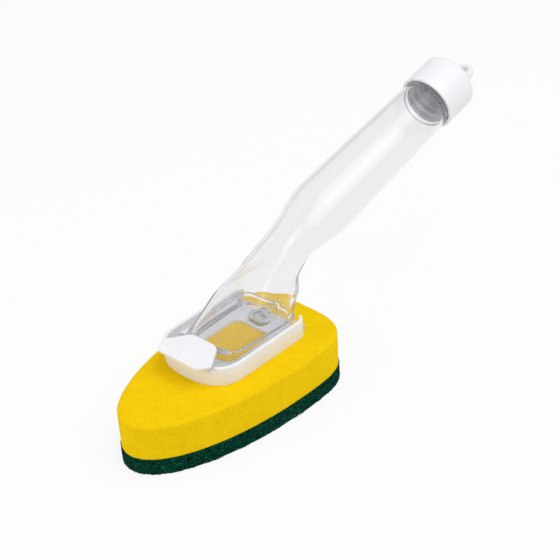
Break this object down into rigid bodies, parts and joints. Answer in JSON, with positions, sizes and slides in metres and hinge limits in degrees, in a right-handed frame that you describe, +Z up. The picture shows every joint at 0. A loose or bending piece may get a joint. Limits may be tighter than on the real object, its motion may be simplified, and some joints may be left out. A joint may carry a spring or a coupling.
{
  "type": "dish wand",
  "caption": "Soap-filled dish wand: a clear bottle handle with a screw cap slides into a tray that carries a pointed sponge with a scouring pad.",
  "frame": {"origin": "in the scouring pad's lower face, in the plane that halves the handle, under the front part of the foot", "axes": "+Z up from the pad, +X from the sponge's nose towards the cap, +Y across the wand"},
  "size_m": [0.2418, 0.0624, 0.1081],
  "materials": {
    "scouring_web": "rough",
    "yellow_foam": "matte",
    "white_moulding": "satin",
    "latch_moulding": "satin",
    "clear_plastic": "clear",
    "valve_rubber": "matte",
    "cap_moulding": "satin",
    "liner_foam": "matte"
  },
  "bodies": {
    "refill": {"scour_pad": "scouring_web", "sponge_foam": "yellow_foam", "refill_tray": "white_moulding"},
    "latch": {"latch_tab": "latch_moulding"},
    "wand": {"handle_body": "clear_plastic", "foot_plate": "clear_plastic", "soap_valve": "valve_rubber", "valve_retainer": "white_moulding"},
    "cap_seal": {"cap_liner": "liner_foam"},
    "cap": {"screw_cap": "cap_moulding"}
  },
  "joints": [
    {"name": "latch_press", "type": "hinge", "parent": "refill", "child": "latch", "pos_m": [-0.0136, 0, 0.0344], "axis": [0, -1, 0], "range_deg": [0, 16], "stiffness_Nm_per_rad": 0.06},
    {"name": "foot_release", "type": "slide", "parent": "refill", "child": "wand", "axis": [1, 0, 0], "range_m": [0, 0.052], "deforming": ["latch_tab"]},
    {"name": "cap_turn", "type": "hinge", "parent": "cap_seal", "child": "cap", "pos_m": [0.049, 0, 0.06], "axis": [0.9636, 0, 0.2672], "range_deg": [0, 450]},
    {"name": "cap_lift", "type": "slide", "parent": "wand", "child": "cap_seal", "axis": [0.9636, 0, 0.2672], "range_m": [0, 0.0055]}
  ],
  "couplings": [
    {"joint": "cap_lift", "follows": "cap_turn", "m_per_rad": 0.00066845}
  ]
}
